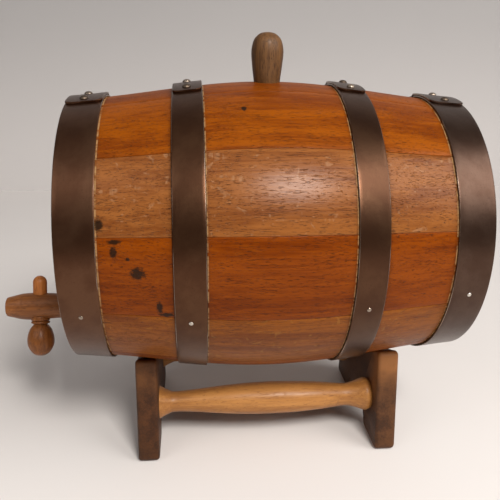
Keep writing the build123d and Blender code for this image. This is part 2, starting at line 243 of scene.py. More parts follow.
def rod(name, radius, start, end, end_radius=None, segments=64):
    """Plain round rod between two points, used as a cutter."""
    along = end - start
    place = Matrix.Translation(start) @ along.to_track_quat("Z", "Y").to_matrix().to_4x4()
    end_radius = radius if end_radius is None else end_radius
    return turned(name, [(radius, 0), (end_radius, along.length)], place, segments)


def join(name, pieces):
    """One object made of several, which are used up."""
    joined = bmesh.new()
    for piece in pieces:
        joined.from_mesh(piece.data)
        bpy.data.objects.remove(piece)
    mesh = bpy.data.meshes.new(name)
    joined.to_mesh(mesh)
    joined.free()
    shade(mesh)
    return new_object(name, mesh)


def note(piece, name, values, kind="FLOAT_VECTOR"):
    """Store one value for each vertex, for the materials to read."""
    attribute = piece.data.attributes.new(name, kind, "POINT")
    field = "vector" if kind == "FLOAT_VECTOR" else "value"
    attribute.data.foreach_set(field, np.array(values, np.float32).ravel())


def finish_piece(piece, node, body, slot, grain, tint=(1, 1, 1)):
    """Give a piece its material, its grain coordinates and tint, and its body, and hide the CAD node it
    stands for.
    """
    note(piece, "grain", [grain(v.co) for v in piece.data.vertices])
    note(piece, "tint", [tint(v.co) if callable(tint) else tint for v in piece.data.vertices])
    piece.data.materials.clear()
    piece.data.materials.append(MATERIALS[slot])
    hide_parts(node)
    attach(piece, body)


# ---- Material helpers ----


class Recipe:
    """Builds one node material, so that each material reads as a list of steps."""

    def __init__(self, name):
        self.material = bpy.data.materials.new(name)
        self.material.use_nodes = True
        self.tree = self.material.node_tree
        self.surface = next(n for n in self.tree.nodes if n.type == "BSDF_PRINCIPLED")

    def node(self, kind, inputs=(), **settings):
        """New node with its settings, and with its inputs fed by name or number."""
        made = self.tree.nodes.new("ShaderNode" + kind)
        for key, value in settings.items():
            setattr(made, key, value)
        for key, value in dict(inputs).items():
            self.feed(made.inputs[key], value)
        return made

    def feed(self, socket, value):
        """Set a socket to a number or colour, or link another node's output to it."""
        if isinstance(value, bpy.types.NodeSocket):
            self.tree.links.new(value, socket)
        elif hasattr(socket.default_value, "__len__") and not hasattr(value, "__len__"):
            socket.default_value = [value] * len(socket.default_value)
        elif hasattr(value, "__len__") and len(socket.default_value) == 4:
            socket.default_value = (*value[:3], 1)
        else:
            socket.default_value = value

    def attribute(self, name, output="Vector"):
        return self.node("Attribute", attribute_name=name).outputs[output]

    def stretched(self, vector, scale, shift=(0, 0, 0)):
        """Coordinates multiplied by scale and then shifted."""
        inputs = {0: vector, 1: scale, 2: shift}
        return self.node("VectorMath", inputs, operation="MULTIPLY_ADD").outputs[0]

    def noise(self, vector, scale, detail=3, rough=0.5, twist=0.0, shift=(0, 0, 0)):
        where = self.stretched(vector, scale, shift)
        inputs = {"Vector": where, "Scale": 1, "Detail": detail, "Roughness": rough, "Distortion": twist}
        return self.node("TexNoise", inputs).outputs[0]

    def math(self, operation, a, b):
        return self.node("Math", {0: a, 1: b}, operation=operation).outputs[0]

    def times(self, a, b):
        return self.math("MULTIPLY", a, b)

    def plus(self, a, b):
        return self.math("ADD", a, b)

    def between(self, value, low, high, to_high=1.0):
        """Smooth step from 0 where the value is low to to_high where it is high; low may be the larger."""
        (low, to_low), (high, to_high) = sorted([(low, 0.0), (high, to_high)])
        inputs = {"Value": value, "From Min": low, "From Max": high, "To Min": to_low, "To Max": to_high}
        return self.node("MapRange", inputs, interpolation_type="SMOOTHSTEP").outputs["Result"]

    def blend(self, share, a, b, how="MIX"):
        made = self.node("Mix", data_type="RGBA", blend_type=how)
        self.feed(made.inputs["Factor"], share)
        colours = [s for s in made.inputs if s.type == "RGBA"]
        self.feed(colours[0], a)
        self.feed(colours[1], b)
        return next(s for s in made.outputs if s.type == "RGBA")

    def bump(self, height, depth):
        """Relief that is depth metres high where the height pattern is 1."""
        inputs = {"Strength": 1, "Distance": depth, "Height": height}
        return self.node("Bump", inputs).outputs[0]

    def done(self, **values):
        """Connect the finished colours and numbers to the surface, by socket name.
        The coat follows the same bump as the wood or steel under it."""
        values.setdefault("coat_normal", values["normal"])
        for key, value in values.items():
            socket = key.replace("_", " ").title().replace("Ior", "IOR")
            self.feed(self.surface.inputs[socket], value)
        return self.material


# ---- Materials ----

BLACKENED = (0.012, 0.006, 0.003)


def wood(name, light, dark, pore, roughness, pores=1.0):
    """Wood whose grain runs along the first grain coordinate. Returns the recipe and its parts.
    Scales are repeats for each metre, along the grain and then across it both ways."""
    recipe = Recipe(name)
    grain = recipe.attribute("grain")
    broad = recipe.noise(grain, (9, 75, 75), detail=3, twist=0.4)
    lines = recipe.noise(grain, (22, 560, 560), detail=4, rough=0.62, twist=0.3)
    dashes = recipe.noise(grain, (190, 2300, 2300), detail=2, rough=0.55)
    crowd = recipe.noise(grain, (30, 160, 160), detail=2, shift=(3, 1, 2))
    share = recipe.plus(recipe.times(broad, 0.55), recipe.times(lines, 0.45))
    colour = recipe.blend(recipe.between(share, 0.36, 0.62), dark, light)
    level = recipe.plus(dashes, recipe.times(crowd, 0.22))
    open_pores = recipe.between(level, 0.70, 0.78, to_high=pores)
    colour = recipe.blend(open_pores, colour, pore)
    height = recipe.math("SUBTRACT", recipe.times(lines, 0.35), open_pores)
    rough = recipe.plus(recipe.times(lines, 0.16), roughness - 0.08)
    return recipe, grain, colour, height, rough


def tinted(recipe, colour):
    """Colour times the piece's own tint."""
    return recipe.blend(1.0, colour, recipe.attribute("tint"), how="MULTIPLY")


def plain_wood(name, light, dark, pore, roughness, varnish):
    """Wood with no marks of its own."""
    recipe, _, colour, height, rough = wood(name, light, dark, pore, roughness, pores=0.8)
    return recipe.done(
        base_color=tinted(recipe, colour), roughness=rough, specular_ior_level=0.25,
        coat_weight=varnish, coat_roughness=0.25, normal=recipe.bump(height, 0.10 * MM),
    )


# Stains, by stave and by the hoop to their left. Each has its place, as shares across the stave from its
# upper edge and along the bare wood to the next hoop, then its half length and half width in mm.
STAINS = {
    ("stave_03", "left_head_hoop"): ((0.85, 0.05, 3.0, 4.5),),
    ("stave_04", "left_head_hoop"): (
        (0.05, 0.24, 4.5, 1.8),
        (0.17, 0.23, 2.5, 4.0),
        (0.25, 0.41, 1.4, 1.4),
        (0.42, 0.53, 5.0, 4.5),
        (0.86, 0.80, 2.0, 5.5),
        (0.96, 0.89, 5.0, 1.6),
    ),
    ("stave_02", "left_bilge_hoop"): ((0.40, 0.28, 1.8, 2.5),),
}
STAIN_RAGGEDNESS = 1.7  # how far noise moves a stain's edge, as a share of its size
STAIN_EDGE = (2.05, 1.45)  # size plus noise at which a stain begins, and is at its darkest
STAIN_STRENGTH = 0.93
RAY_STRENGTH = 0.5


def stain_place(stave, hoop, across, along):
    """A stain's middle, in the coordinates of the place attribute."""
    first, last = stave_span(stave)
    bare_from = HOOP_SPANS[hoop][1]
    bare_to = HOOP_SPANS[HOOPS[HOOPS.index(hoop) + 1]][0]
    angle = first + across * (last - first)
    return (bare_from + along * (bare_to - bare_from)) / MM, radians(angle) * BILGE_RADIUS / MM, 0


def stave_oak():
    """Varnished oak: orange-brown, with open pores, pale rays, iron stains, and painted shade by the
    hoops.
    """
    recipe, grain, colour, height, rough = wood(
        "stave_oak", (0.305, 0.082, 0.010), (0.175, 0.038, 0.004), (0.050, 0.013, 0.004), 0.50, pores=0.65
    )
    place = recipe.attribute("place")
    rays = recipe.noise(grain, (75, 130, 130), detail=2, twist=1.6, shift=(7, 5, 1))
    silk = recipe.noise(grain, (260, 60, 60), detail=2, twist=0.8, shift=(1, 9, 4))
    flecks = recipe.times(recipe.between(rays, 0.60, 0.68), recipe.between(silk, 0.40, 0.62))
    flecks = recipe.times(flecks, recipe.attribute("figure", "Fac"))
    flecks = recipe.times(flecks, RAY_STRENGTH)
    colour = recipe.blend(flecks, colour, (0.40, 0.165, 0.045))
    ragged = recipe.noise(place, (0.35, 0.5, 0.5), detail=3, rough=0.7)
    stain = 0.0
    for bay, (across, along, length, width) in [(bay, mark) for bay in STAINS for mark in STAINS[bay]]:
        inputs = {0: place, 1: stain_place(*bay, across, along)}
        offset = recipe.node("VectorMath", inputs, operation="SUBTRACT").outputs[0]
        inputs = {0: recipe.stretched(offset, (1 / length, 1 / width, 0))}
        reach = recipe.node("VectorMath", inputs, operation="LENGTH")
        edge = recipe.plus(reach.outputs["Value"], recipe.times(ragged, STAIN_RAGGEDNESS))
        stain = recipe.math("MAXIMUM", stain, recipe.between(edge, *STAIN_EDGE, to_high=STAIN_STRENGTH))
    colour = tinted(recipe, colour)
    patches = recipe.between(recipe.noise(place, (0.02, 0.16, 0), detail=3, rough=0.7), 0.38, 0.55)
    worn = recipe.times(recipe.attribute("worn", "Fac"), patches)
    colour = recipe.blend(worn, colour, (0.52, 0.30, 0.13))
    # Painted shade beside the hoops' edges.
    colour = recipe.blend(recipe.attribute("grime", "Fac"), colour, BLACKENED)
    colour = recipe.blend(stain, colour, BLACKENED)
    varnish = recipe.plus(recipe.times(recipe.attribute("figure", "Fac"), 0.18), 0.10)
    return recipe.done(
        base_color=colour, roughness=rough, specular_ior_level=0.10, specular_tint=(1.0, 0.60, 0.30),
        coat_weight=varnish, coat_roughness=0.25, normal=recipe.bump(height, 0.24 * MM),
    )


def steel(name, colour, rust, roughness, metallic, oil):
    """Steel strip with an old brown patina, smoother where its edges are rubbed, and paler there: worn
    steel, and painted highlight along the edges.
    """
    recipe = Recipe(name)
    grain = recipe.attribute("grain")
    cloud = recipe.noise(grain, (45, 45, 45), detail=4, rough=0.6)
    fine = recipe.noise(grain, (900, 900, 900), detail=3, rough=0.65)
    streak = recipe.noise(grain, (35, 900, 900), detail=2)
    rubbed = recipe.attribute("rubbed", "Fac")
    rub_glint = recipe.times(rubbed, recipe.between(cloud, 0.42, 0.60))
    base = recipe.blend(recipe.between(cloud, 0.35, 0.65), colour, rust)
    base = recipe.blend(recipe.between(fine, 0.58, 0.72, to_high=0.5), base, [c * 0.55 for c in rust])
    # Paler where rubbed: worn steel, and painted highlight on the edges.
    base = recipe.blend(rub_glint, tinted(recipe, base), (0.30, 0.24, 0.19))
    rough = recipe.plus(recipe.times(fine, 0.18), roughness - 0.09)
    rough = recipe.math("SUBTRACT", rough, recipe.times(rub_glint, 0.15))
    height = recipe.plus(recipe.times(cloud, 0.9), recipe.times(streak, 0.08))
    return recipe.done(
        base_color=base, metallic=metallic, roughness=rough, coat_weight=oil, coat_roughness=0.36,
        normal=recipe.bump(height, 0.22 * MM),
    )


def cradle_wood():
    """Dark stained wood, worn to orange-brown in patches near the top."""
    recipe, grain, colour, height, rough = wood(
        "cradle_wood", (0.085, 0.030, 0.009), (0.040, 0.014, 0.005), (0.012, 0.005, 0.002), 0.55
    )
    worn = recipe.attribute("worn", "Fac")
    patches = recipe.noise(grain, (45, 45, 45), detail=2, rough=0.5)
    worn = recipe.times(worn, recipe.between(patches, 0.15, 0.65))
    colour = recipe.blend(worn, tinted(recipe, colour), (0.27, 0.108, 0.034))
    return recipe.done(
        base_color=colour, roughness=rough, specular_ior_level=0.2, coat_weight=0.05,
        coat_roughness=0.35, normal=recipe.bump(height, 0.16 * MM),
    )


PLAIN_WOODS = {  # light, dark and pore colours, then roughness and varnish
    "head_oak": ((0.27, 0.082, 0.016), (0.155, 0.042, 0.008), (0.045, 0.014, 0.005), 0.5, 0.14),
    "dowel_wood": ((0.50, 0.33, 0.18), (0.36, 0.22, 0.11), (0.20, 0.11, 0.05), 0.6, 0.0),
    "bung_wood": ((0.150, 0.068, 0.022), (0.068, 0.029, 0.010), (0.03, 0.014, 0.007), 0.55, 0.08),
    "tap_wood": ((0.350, 0.130, 0.036), (0.205, 0.068, 0.017), (0.07, 0.024, 0.008), 0.45, 0.15),
    "stretcher_wood": ((0.49, 0.215, 0.060), (0.33, 0.130, 0.033), (0.20, 0.07, 0.018), 0.45, 0.15),
}
STEELS = {  # colour, rust colour, roughness, metallic and oil
    "hoop_steel": ((0.090, 0.048, 0.027), (0.068, 0.032, 0.016), 0.34, 0.9, 0.12),
    "rivet_steel": ((0.105, 0.075, 0.052), (0.055, 0.032, 0.022), 0.42, 0.75, 0.0),
    "tack_steel": ((0.62, 0.58, 0.52), (0.40, 0.33, 0.25), 0.32, 1.0, 0.0),
}
MATERIALS = {
    "stave_oak": stave_oak(),
    "cradle_wood": cradle_wood(),
    **{name: plain_wood(name, *looks) for name, looks in PLAIN_WOODS.items()},
    **{name: steel(name, *looks) for name, looks in STEELS.items()},
}


# ---- Staves ----

ARRIS = 0.45 * MM  # rounding of the long edges, which makes the seams
CHIME_ARRIS = 1.2 * MM
CHIME_LAND = 8 * MM
CHIME_BEVEL = 9 * MM
HEAD_MIDDLE = abs(middle("right_head_centre_board").x - AXIS.x)
HEAD_HALF = (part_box("right_head_centre_board")[1].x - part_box("right_head_centre_board")[0].x) / 2
TONGUE_HALF = 3 * MM
CROZE_DEPTH = 4 * MM
STATION_STEP = 6 * MM  # between a stave's plain sections
STATION_CLEAR = 1.5 * MM  # no plain section is closer to a hoop's edge
HAIR = 0.01 * MM  # two sections this far apart make a square step
ARCS_OUTSIDE = 14  # facets across a stave
ARCS_INSIDE = 6
STAVE_DRIFT = 0.14 * MM  # the most that the outside dips
BUNG_HOLE_ABOVE = 9.65 * MM  # radius of the tapered hole, ABOVE_STAVE over the stave
BUNG_HOLE_BELOW = 7.95 * MM  # and BELOW_STAVE under it
ABOVE_STAVE = 4 * MM
BELOW_STAVE = 30 * MM

# Beside a hoop the wood is darkened with painted shade, the shade of the hoop's edge standing over the
# wood, which thins out over the spread set below, and on the hoop's bilge side the finish has worn off in
# a narrow band.
SHADE_AGAINST = 0.85
SHADE_BESIDE = 0.45
AGAINST = 0.3 * MM
SHADE_SPREAD = 1.1 * MM
# Stave sections stand at these distances from each hoop's edge, where the painted shade and the worn band
# change.
SHADE_AND_WEAR_REACH = (0, 0.25 * MM, 0.5 * MM, 1.1 * MM, 2.4 * MM, 5 * MM)
WORN_BAND = (0.2 * MM, 0.9 * MM)


def hoop_edges():
    """Hoop edges with bare wood beside them, as distance from mid-length, which way the bare wood lies,
    and whether that is towards the bilge."""
    edges = []
    for low, high in HOOP_SPANS.values():
        for x, way in ((low, -1), (high, 1)):
            if abs(x) < HALF_LENGTH - MM:
                edges.append((x, way, x * way < 0))
    return edges


HOOP_EDGES = hoop_edges()


def hoop_marks(x):
    """Painted shade and wear beside the hoops at a distance x from mid-length."""
    grime = 0.0
    worn = 0.0
    for edge, way, bilge_side in HOOP_EDGES:
        away = (x - edge) * way
        if away < -HAIR:
            continue
        strength = SHADE_AGAINST if away < AGAINST else SHADE_BESIDE
        grime = max(grime, strength * exp(-away / SHADE_SPREAD))
        if bilge_side and WORN_BAND[0] < away < WORN_BAND[1]:
            worn = 1.0
    return grime, worn


def stave_stations():
    """A stave's sections, as distance from mid-length, drop of the outside, and inside radius."""
    count = int(HALF_LENGTH / STATION_STEP) - 1
    plain = [i * STATION_STEP for i in range(-count, count + 1)]
    for edge, way, _ in HOOP_EDGES:
        plain = [x for x in plain if abs(x - edge) > STATION_CLEAR]
        plain += [edge + way * reach for reach in SHADE_AND_WEAR_REACH]
    croze = [side * (HEAD_MIDDLE + end * TONGUE_HALF) for side in (-1, 1) for end in (-1, 1)]
    bevel = HALF_LENGTH - CHIME_BEVEL
    plain = [x for x in plain if abs(x) < bevel - MM and all(abs(x - c) > MM for c in croze)]
    stations = [(x, 0.0, stave_radius(x) - STAVE_THICKNESS) for x in plain]
    bare = stave_radius(bevel) - STAVE_THICKNESS
    land = CHIME_RADIUS - CHIME_LAND
    for side in (-1, 1):
        for end, order in ((-1, (0, CROZE_DEPTH)), (1, (CROZE_DEPTH, 0))):
            x = side * (HEAD_MIDDLE + end * TONGUE_HALF)
            inside = stave_radius(x) - STAVE_THICKNESS
            for rank, depth in enumerate(order):
                stations.append((x + side * rank * HAIR, 0.0, inside + depth))
        stations.append((side * bevel, 0.0, bare))
        for away, drop in rounding(CHIME_ARRIS, 4):
            rise = 1 - away / CHIME_BEVEL
            stations.append((side * (HALF_LENGTH - away), drop, bare + (land - bare) * rise))
    return sorted(stations)


def make_stave(number, node, stations):
    """One stave, with eased edges and a surface that is not quite true."""
    first, last = stave_span(node)
    width = radians(last - first) * BILGE_RADIUS
    section = [(0.0, 1.0, 0.0)]
    section += [(away, 0.0, depth) for away, depth in rounding(ARRIS)]
    flat = width - 2 * ARRIS
    section += [(ARRIS + flat * i / ARCS_OUTSIDE, 0.0, 0.0) for i in range(1, ARCS_OUTSIDE)]
    section += [(width - away, 0.0, depth) for away, depth in reversed(rounding(ARRIS))]
    section += [(width, 1.0, 0.0)]
    section += [(width * (1 - i / ARCS_INSIDE), 1.0, 0.0) for i in range(1, ARCS_INSIDE)]
    rings = []
    for x, drop, inside in stations:
        ring = []
        for across, inner, depth in section:
            angle = first + (last - first) * across / width
            drift = 0.5 + 0.5 * noise.noise(Vector((x * 18, across * 30, number * 4.7)))
            outside = stave_radius(x) - drop - depth - STAVE_DRIFT * drift
            ring.append(on_cask(x, angle, inside if inner else outside))
        rings.append(ring)
    piece = new_piece(node, *skin(rings))
    if node == "bung_stave":
        hole_x = middle("bung").x
        surface = AXIS.z + BILGE_RADIUS
        top = Vector((hole_x, 0, surface + ABOVE_STAVE))
        foot = Vector((hole_x, 0, surface - BELOW_STAVE))
        cut(piece, rod("hole", BUNG_HOLE_ABOVE, top, foot, end_radius=BUNG_HOLE_BELOW))
    return piece, (first + last) / 2


# For each stave from the bung stave over the front: its tint, and how much ray figure it shows.
# The third tint, for stave_03 under the key lamp's highlight, is paler and less orange: partly its own
# tone, partly painted sheen.
STAVE_LOOKS = (
    ((0.80, 0.68, 0.10), 0.1), ((0.82, 0.70, 0.08), 0.1), ((0.80, 1.00, 1.80), 1.0),
    ((0.70, 0.52, 0.08), 0.2), ((0.80, 0.84, 0.42), 0.8), ((0.78, 0.72, 0.35), 0.7),
    ((0.84, 0.74, 0.25), 0.2), ((0.78, 0.82, 0.45), 0.9), ((0.84, 0.74, 0.25), 0.3),
    ((0.72, 0.60, 0.20), 0.6), ((0.82, 0.88, 0.55), 1.0), ((0.76, 0.60, 0.15), 0.2),
)


def make_staves():
    stations = stave_stations()
    for number, node in enumerate(STAVES):
        piece, centre = make_stave(number, node, stations)
        tint, figure = STAVE_LOOKS[number]
        places = []
        marks = []
        for vertex in piece.data.vertices:
            x, angle, radius = cask_place(vertex.co)
            places.append((x / MM, radians(angle) * BILGE_RADIUS / MM, 0))
            outside = radius > stave_radius(x) - 4 * MM
            marks.append(hoop_marks(x) if outside else (0.0, 0.0))
        note(piece, "place", places)
        # Painted shade beside the hoops' edges.
        note(piece, "grime", [grime for grime, _ in marks], "FLOAT")
        note(piece, "worn", [worn for _, worn in marks], "FLOAT")
        note(piece, "figure", [figure] * len(marks), "FLOAT")

        def grain(point, number=number, centre=centre):
            x, angle, radius = cask_place(point)
            arc = radians((angle - centre + 180) % 360 - 180) * radius
            return x + 0.71 * number, arc + 0.37 * number, radius

        finish_piece(piece, node, "cask", "stave_oak", grain, tint)


# ---- Heads ----

HEAD_BEVEL = 5 * MM
HEAD_FIT = 0.15 * MM  # between a head's edge and the staves
TONGUE_FIT = 0.05 * MM
SEAM_EASE = 0.35 * MM  # bevel along the seams between a head's boards
TAP_HOLE_OUTSIDE = 8.75 * MM  # radius of the tapered hole, TAP_HOLE_REACH out from the head's middle
TAP_HOLE_INSIDE = 7.8 * MM  # and as far in
TAP_HOLE_REACH = 10 * MM
HEAD_BOARDS = {  # tint of each board
    "front_board": (1.0, 0.97, 0.92),
    "centre_board": (0.93, 0.9, 0.86),
    "rear_board": (1.04, 1.0, 0.94),
}


def head_disc(side):
    """A whole head, turned about the cask axis: bevelled shoulders and a tongue for the croze."""
    shoulder = stave_radius(HEAD_MIDDLE + HEAD_HALF) - STAVE_THICKNESS - HEAD_FIT
    rim = stave_radius(HEAD_MIDDLE) - STAVE_THICKNESS + CROZE_DEPTH - HEAD_FIT
    tongue = TONGUE_HALF - TONGUE_FIT
    half = [
        (0, HEAD_HALF),
        (shoulder * 0.5, HEAD_HALF),
        (shoulder - HEAD_BEVEL - 0.6 * MM, HEAD_HALF),
        (shoulder - HEAD_BEVEL + 0.5 * MM, HEAD_HALF - 0.25 * MM),
        (shoulder, tongue + 0.4 * MM),
        (shoulder, tongue),
        (rim, tongue),
    ]
    outline = half + [(radius, -height) for radius, height in reversed(half)]
    centre = Vector((AXIS.x + side * HEAD_MIDDLE, 0, AXIS.z))
    place = Matrix.Translation(centre) @ Matrix.Rotation(pi / 2, 4, "Y")
    return turned("disc", outline, place, segments=144)


def slice_off(piece, at, keep):
    """Cut a piece along the plane y = at and keep the side that keep points to, with an eased edge."""
    body = bmesh.new()
    body.from_mesh(piece.data)
    whole = body.verts[:] + body.edges[:] + body.faces[:]
    result = bmesh.ops.bisect_plane(
        body, geom=whole, dist=1e-7, plane_co=(0, at, 0), plane_no=(0, keep, 0), clear_inner=True
    )
    rim = [e for e in result["geom_cut"] if isinstance(e, bmesh.types.BMEdge)]
    bmesh.ops.edgeloop_fill(body, edges=rim)
    bmesh.ops.bevel(body, geom=rim, offset=SEAM_EASE, segments=2, profile=0.5, affect="EDGES")
    body.to_mesh(piece.data)
    body.free()
    shade(piece.data)


def make_heads():
    """Two heads of three boards each, with fine seams between the boards."""
    tap_low, tap_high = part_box("tap_body")
    tap_z = (tap_low.z + tap_high.z) / 2
    for side_name, side in SIDES.items():
        for number, (board, tint) in enumerate(HEAD_BOARDS.items()):
            node = f"{side_name}_head_{board}"
            low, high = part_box(node)
            piece = head_disc(side)
            piece.name = node
            if board != "front_board":
                slice_off(piece, low.y, 1)
            if board != "rear_board":
                slice_off(piece, high.y, -1)
            if node == "left_head_centre_board":
                middle_x = AXIS.x - HEAD_MIDDLE
                start = Vector((middle_x - TAP_HOLE_REACH, 0, tap_z))
                end = Vector((middle_x + TAP_HOLE_REACH, 0, tap_z))
                cut(piece, rod("hole", TAP_HOLE_OUTSIDE, start, end, end_radius=TAP_HOLE_INSIDE))

            def grain(point, number=number):
                return point.z + 0.43 * number, point.y + 0.2 * number, point.x

            finish_piece(piece, node, "cask", "head_oak", grain, tint)
        dowels = frame["nodes"][f"{side_name}_head_dowels"]
        dowels.data.materials.clear()
        dowels.data.materials.append(MATERIALS["dowel_wood"])


# ---- Hoops, rivets and tacks ----

STRIP = 1.5 * MM  # thickness of a hoop's strip
STRIP_GAP = 0.08 * MM
STRIP_CORNER = 0.45 * MM
STRIP_FACETS = 8  # across the strip's flat faces
STRIP_DRIFT = 0.10 * MM  # the most that it stands out
LAP_LIFT = STRIP + 2 * STRIP_GAP
LAP_START = 80.0  # degrees at which the outer layer begins to climb
LAP_STEP = 2.0  # degrees that the climb takes
LAP_CLEAR = 0.3  # degrees from there to the inner layer's end
LAP_MARGIN = 4.0  # degrees from the front rivet to the strip's end
END_CORNER = 4 * MM  # rounding of the end's corners
END_ARC = 2.4  # degrees that the rounding takes
END_STEPS = 8
RIVET_HEAD = (3 * MM, 2 * MM)  # radius and height
RIVET_SHANK = (1.5 * MM, 3.12 * MM)  # radius and length
TACK_HEAD = (1.5 * MM, 0.7 * MM)
TACK_SHANK = (0.7 * MM, 11 * MM)
HEAD_RIM = 0.12  # share of a head's height that stands straight
HOOP_TINTS = ((1.20, 1.00, 0.86), (1.00, 0.80, 0.60), (0.86, 0.70, 0.54), (0.84, 0.86, 1.00))


def strip_section(low, high):
    """Closed section of a strip as (x, height above its underside)."""
    corner = rounding(STRIP_CORNER)
    width = high - low
    upper = [(low + away, STRIP - depth) for away, depth in corner]
    upper += [(low + width * i / STRIP_FACETS, STRIP) for i in range(1, STRIP_FACETS)]
    upper += [(high - away, STRIP - depth) for away, depth in reversed(corner)]
    lower = [(high - away, depth) for away, depth in corner]
    lower += [(high - width * i / STRIP_FACETS, 0.0) for i in range(1, STRIP_FACETS)]
    lower += [(low + away, depth) for away, depth in reversed(corner)]
    return upper + lower


def make_hoop(number, hoop):
    """A strip that goes once round the staves and laps over its own end, which two rivets hold."""
    low, high = HOOP_SPANS[hoop]
    middle_x = (low + high) / 2
    _, front_rivet = fastener_angles("hoop_rivets", hoop)
    climb_from = LAP_START + 360
    end = front_rivet + LAP_MARGIN + 360
    section = strip_section(low, high)
    angles = list(np.arange(LAP_START + LAP_STEP + LAP_CLEAR, climb_from, 1.5))
    angles += list(np.arange(climb_from, climb_from + LAP_STEP, 0.3))
    angles += list(np.arange(climb_from + LAP_STEP, end - END_ARC, 1.2))
    angles += [end - END_ARC + END_ARC * i / END_STEPS for i in range(END_STEPS + 1)]
    rings = []
    for angle in angles:
        climb = min(1, max(0, (angle - LAP_START - 360) / LAP_STEP))
        lift = STRIP_GAP + LAP_LIFT * climb * climb * (3 - 2 * climb)
        left = radians(end - angle) * stave_radius(middle_x)
        inset = END_CORNER - sqrt(max(0, END_CORNER ** 2 - max(0, END_CORNER - left) ** 2))
        squeeze = 1 - 2 * inset / (high - low)
        ring = []
        for x, out in section:
            x = middle_x + (x - middle_x) * squeeze
            drift = 0.5 + 0.5 * noise.noise(Vector((angle * 0.09, x * 60, number * 3.1)))
            ring.append(on_cask(x, angle, stave_radius(x) + lift + out + STRIP_DRIFT * drift))
        rings.append(ring)
    piece = new_piece(hoop, *skin(rings))
    # The strip's outer edges are marked as rubbed: worn, and given painted highlight.
    edge_reach = 0.75 * STRIP_CORNER
    rub_glint = []
    for vertex in piece.data.vertices:
        x, angle, radius = cask_place(vertex.co)
        by_edge = min(x - low, high - x) < edge_reach and radius > stave_radius(x) + STRIP * 0.5
        rub_glint.append(1.0 if by_edge else 0.0)
    note(piece, "rubbed", rub_glint, "FLOAT")

    def grain(point):
        x, angle, radius = cask_place(point)
        return radians(angle) * radius, x + 0.4 * number, radius

    finish_piece(piece, hoop, "cask", "hoop_steel", grain, HOOP_TINTS[number])


def on_hoop(hoop, angle, lift):
    """Place on a hoop's middle line, with Z out of the wood at right angles to it."""
    low, high = HOOP_SPANS[hoop]
    x = (low + high) / 2
    out = Vector((-stave_slope(x), cos(radians(angle)), sin(radians(angle)))).normalized()
    foot = on_cask(x, angle, stave_radius(x)) + out * lift
    return Matrix.Translation(foot) @ out.to_track_quat("Z", "Y").to_matrix().to_4x4()


def make_fasteners(node, slot, head, shank, lift):
    """Round heads on short shanks, two on each hoop, joined into one piece."""
    head_radius, head_height = head
    shank_radius, shank_length = shank
    rim = HEAD_RIM * head_height
    crown = [(head_radius * cos(t), head_height * sin(t)) for t in np.linspace(0, pi / 2, 8)]
    outline = [(0, -shank_length), (shank_radius, -shank_length), (shank_radius, 0)]
    outline += [(head_radius * 0.97, 0), (head_radius, rim)]
    outline += [(radius, max(height, rim)) for radius, height in crown[1:]]
    pieces = []
    for hoop in HOOPS:
        for angle in fastener_angles(node, hoop):
            place = on_hoop(hoop, angle, lift)
            pieces.append(turned(f"{node}_{len(pieces)}", outline, place, 32, wobble=0.12 * MM))
    whole = join(node, pieces)
    # The heads are rubbed all over: worn, and given painted highlight.
    note(whole, "rubbed", [1.0] * len(whole.data.vertices), "FLOAT")
    finish_piece(whole, node, "cask", slot, tuple)


def make_hoops():
    for number, hoop in enumerate(HOOPS):
        make_hoop(number, hoop)
    on_lap = LAP_LIFT + STRIP + STRIP_GAP
    on_strip = STRIP + 2 * STRIP_GAP
    make_fasteners("hoop_rivets", "rivet_steel", RIVET_HEAD, RIVET_SHANK, on_lap)
    make_fasteners("hoop_tacks", "tack_steel", TACK_HEAD, TACK_SHANK, on_strip)


# ---- Bung ----

BUNG_NECK = 9.35 * MM  # radius at the outside of the stave
PLUG_TAPER = 0.05  # radius lost for each unit of depth, on the bung and the tap's tail
PLUG_EASE = 0.6 * MM  # bevel at the plug's end
PLUG_STEPS = 4


def make_bung():
    """Turned bung: a tapered plug in the stave, a slim neck and a knob with a rounded top."""
    low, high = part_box("bung")
    wide = (high.x - low.x) / 2
    crown = high.z - (AXIS.z + BILGE_RADIUS)
    foot = AXIS.z + BILGE_RADIUS - low.z
    plug_end = BUNG_NECK - PLUG_TAPER * foot
    knob = curve_through([
        (BUNG_NECK, 0),
        (BUNG_NECK + 0.58 * (wide - BUNG_NECK), 0.28 * crown),
        (wide * 0.995, 0.56 * crown),
        (wide * 0.95, 0.73 * crown),
        (wide * 0.80, 0.87 * crown),
        (wide * 0.50, 0.965 * crown),
        (wide * 0.20, 0.995 * crown),
        (0, crown),
    ], steps=5)
    outline = [(0, -foot), (plug_end - PLUG_EASE, -foot), (plug_end, PLUG_EASE - foot)]
    outline += [
        (plug_end + (BUNG_NECK - plug_end) * i / PLUG_STEPS, -foot * (1 - i / PLUG_STEPS))
        for i in range(1, PLUG_STEPS)
    ]
    outline += knob
    place = Matrix.Translation((middle("bung").x, 0, AXIS.z + BILGE_RADIUS))
    piece = turned("bung_piece", outline, place, 72, wobble=0.16 * MM)
    piece.name = "bung"
    finish_piece(piece, "bung", "bung", "bung_wood", lambda p: (p.z, p.x, p.y))


# ---- Tap ----


def tap_frame():
    """Matrix with its origin where the key crosses the tap's axis, Z along the key and X along the tap."""
    turn = next(j for j in frame["joints"] if j["name"] == "tap_turn")
    up = Vector(turn["axis"]).normalized()
    along = Vector((1, 0, 0))
    side = up.cross(along)
    place = Matrix((along, side, up)).transposed().to_4x4()
    place.translation = Vector(turn["pos_m"])
    return place


